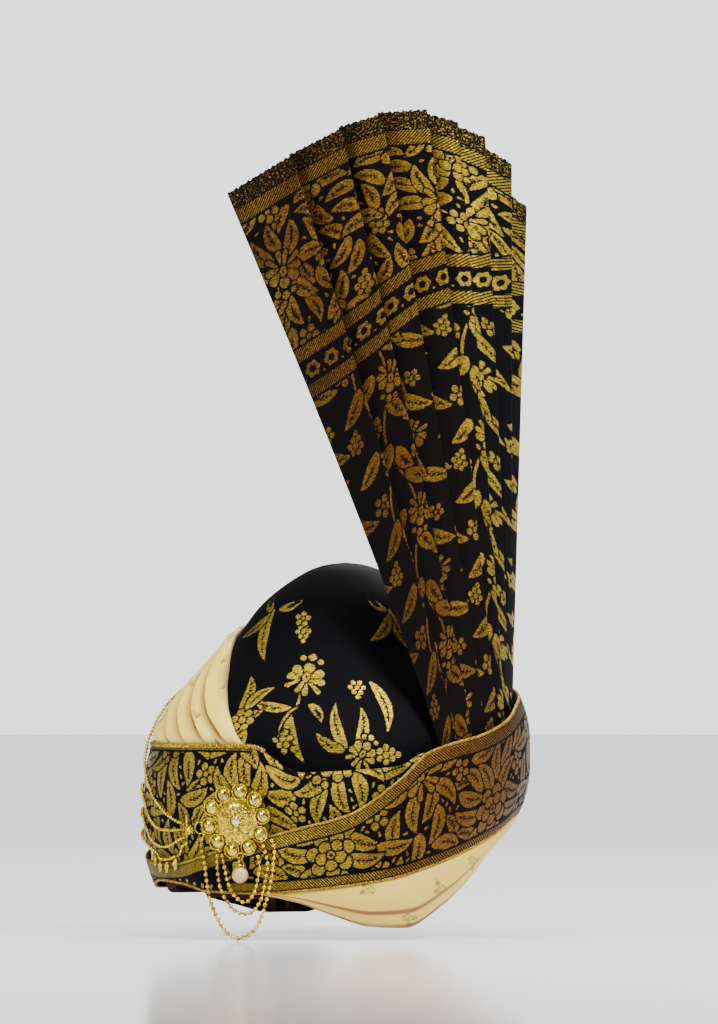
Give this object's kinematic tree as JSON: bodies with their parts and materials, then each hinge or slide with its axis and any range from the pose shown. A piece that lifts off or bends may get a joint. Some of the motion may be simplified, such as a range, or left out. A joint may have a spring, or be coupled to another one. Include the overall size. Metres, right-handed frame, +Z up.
{
  "type": "tied turban pagri",
  "caption": "Tied turban of pleated silk and brocade wound on a domed cap, with a tall pleated fan, a flower brooch, hanging bead swags and a pearl drop.",
  "frame": {"origin": "centre of the head opening at rim level, where the turban sits on the head", "axes": "+Z up through the crown, -Y towards the wearer's front, +X towards the wearer's left ear, which is the side that carries the fan and the brooch"},
  "size_m": [0.21, 0.245, 0.5115],
  "materials": {
    "brocade": "woven, matte with metallic thread",
    "cream_silk": "satin silk",
    "maroon_lining": "matte padded cloth",
    "gold_metal": "polished gold plate",
    "cut_stone": "faceted, clear",
    "pearl": "pearl coating"
  },
  "bodies": {
    "turban": {"band_lower": "brocade", "band_upper": "brocade", "brooch_plate": "gold_metal", "centre_stone": "cut_stone", "chain_spacer": "gold_metal", "cream_front_wrap": "cream_silk", "cream_side_wrap": "cream_silk", "far_pin": "gold_metal", "far_side_wrap": "brocade", "front_chain_1": "gold_metal", "front_chain_2": "gold_metal", "front_chain_3": "gold_metal", "front_chain_4": "gold_metal", "kulla_cap": "brocade", "leaf_drop_1": "gold_metal", "leaf_drop_2": "gold_metal", "leaf_drop_3": "gold_metal", "leaf_drop_4": "gold_metal", "leaf_drop_5": "gold_metal", "petal_stone_01": "cut_stone", "petal_stone_02": "cut_stone", "petal_stone_03": "cut_stone", "petal_stone_04": "cut_stone", "petal_stone_05": "cut_stone", "petal_stone_06": "cut_stone", "petal_stone_07": "cut_stone", "petal_stone_08": "cut_stone", "petal_stone_09": "cut_stone", "petal_stone_10": "cut_stone", "rim_lining": "maroon_lining", "spacer_bead": "gold_metal", "spacer_ring": "gold_metal", "swag_chain_inner": "gold_metal", "swag_chain_middle": "gold_metal", "swag_chain_outer": "gold_metal", "turra_fan": "brocade"},
    "pearl_drop": {"pearl": "pearl", "pearl_cap": "gold_metal"}
  },
  "joints": [
    {"name": "pearl_swing", "type": "hinge", "parent": "turban", "child": "pearl_drop", "pos_m": [0.07579, -0.09097, 0.0191], "axis": [0.7229, -0.691, 0], "range_deg": [-15, 15]}
  ]
}
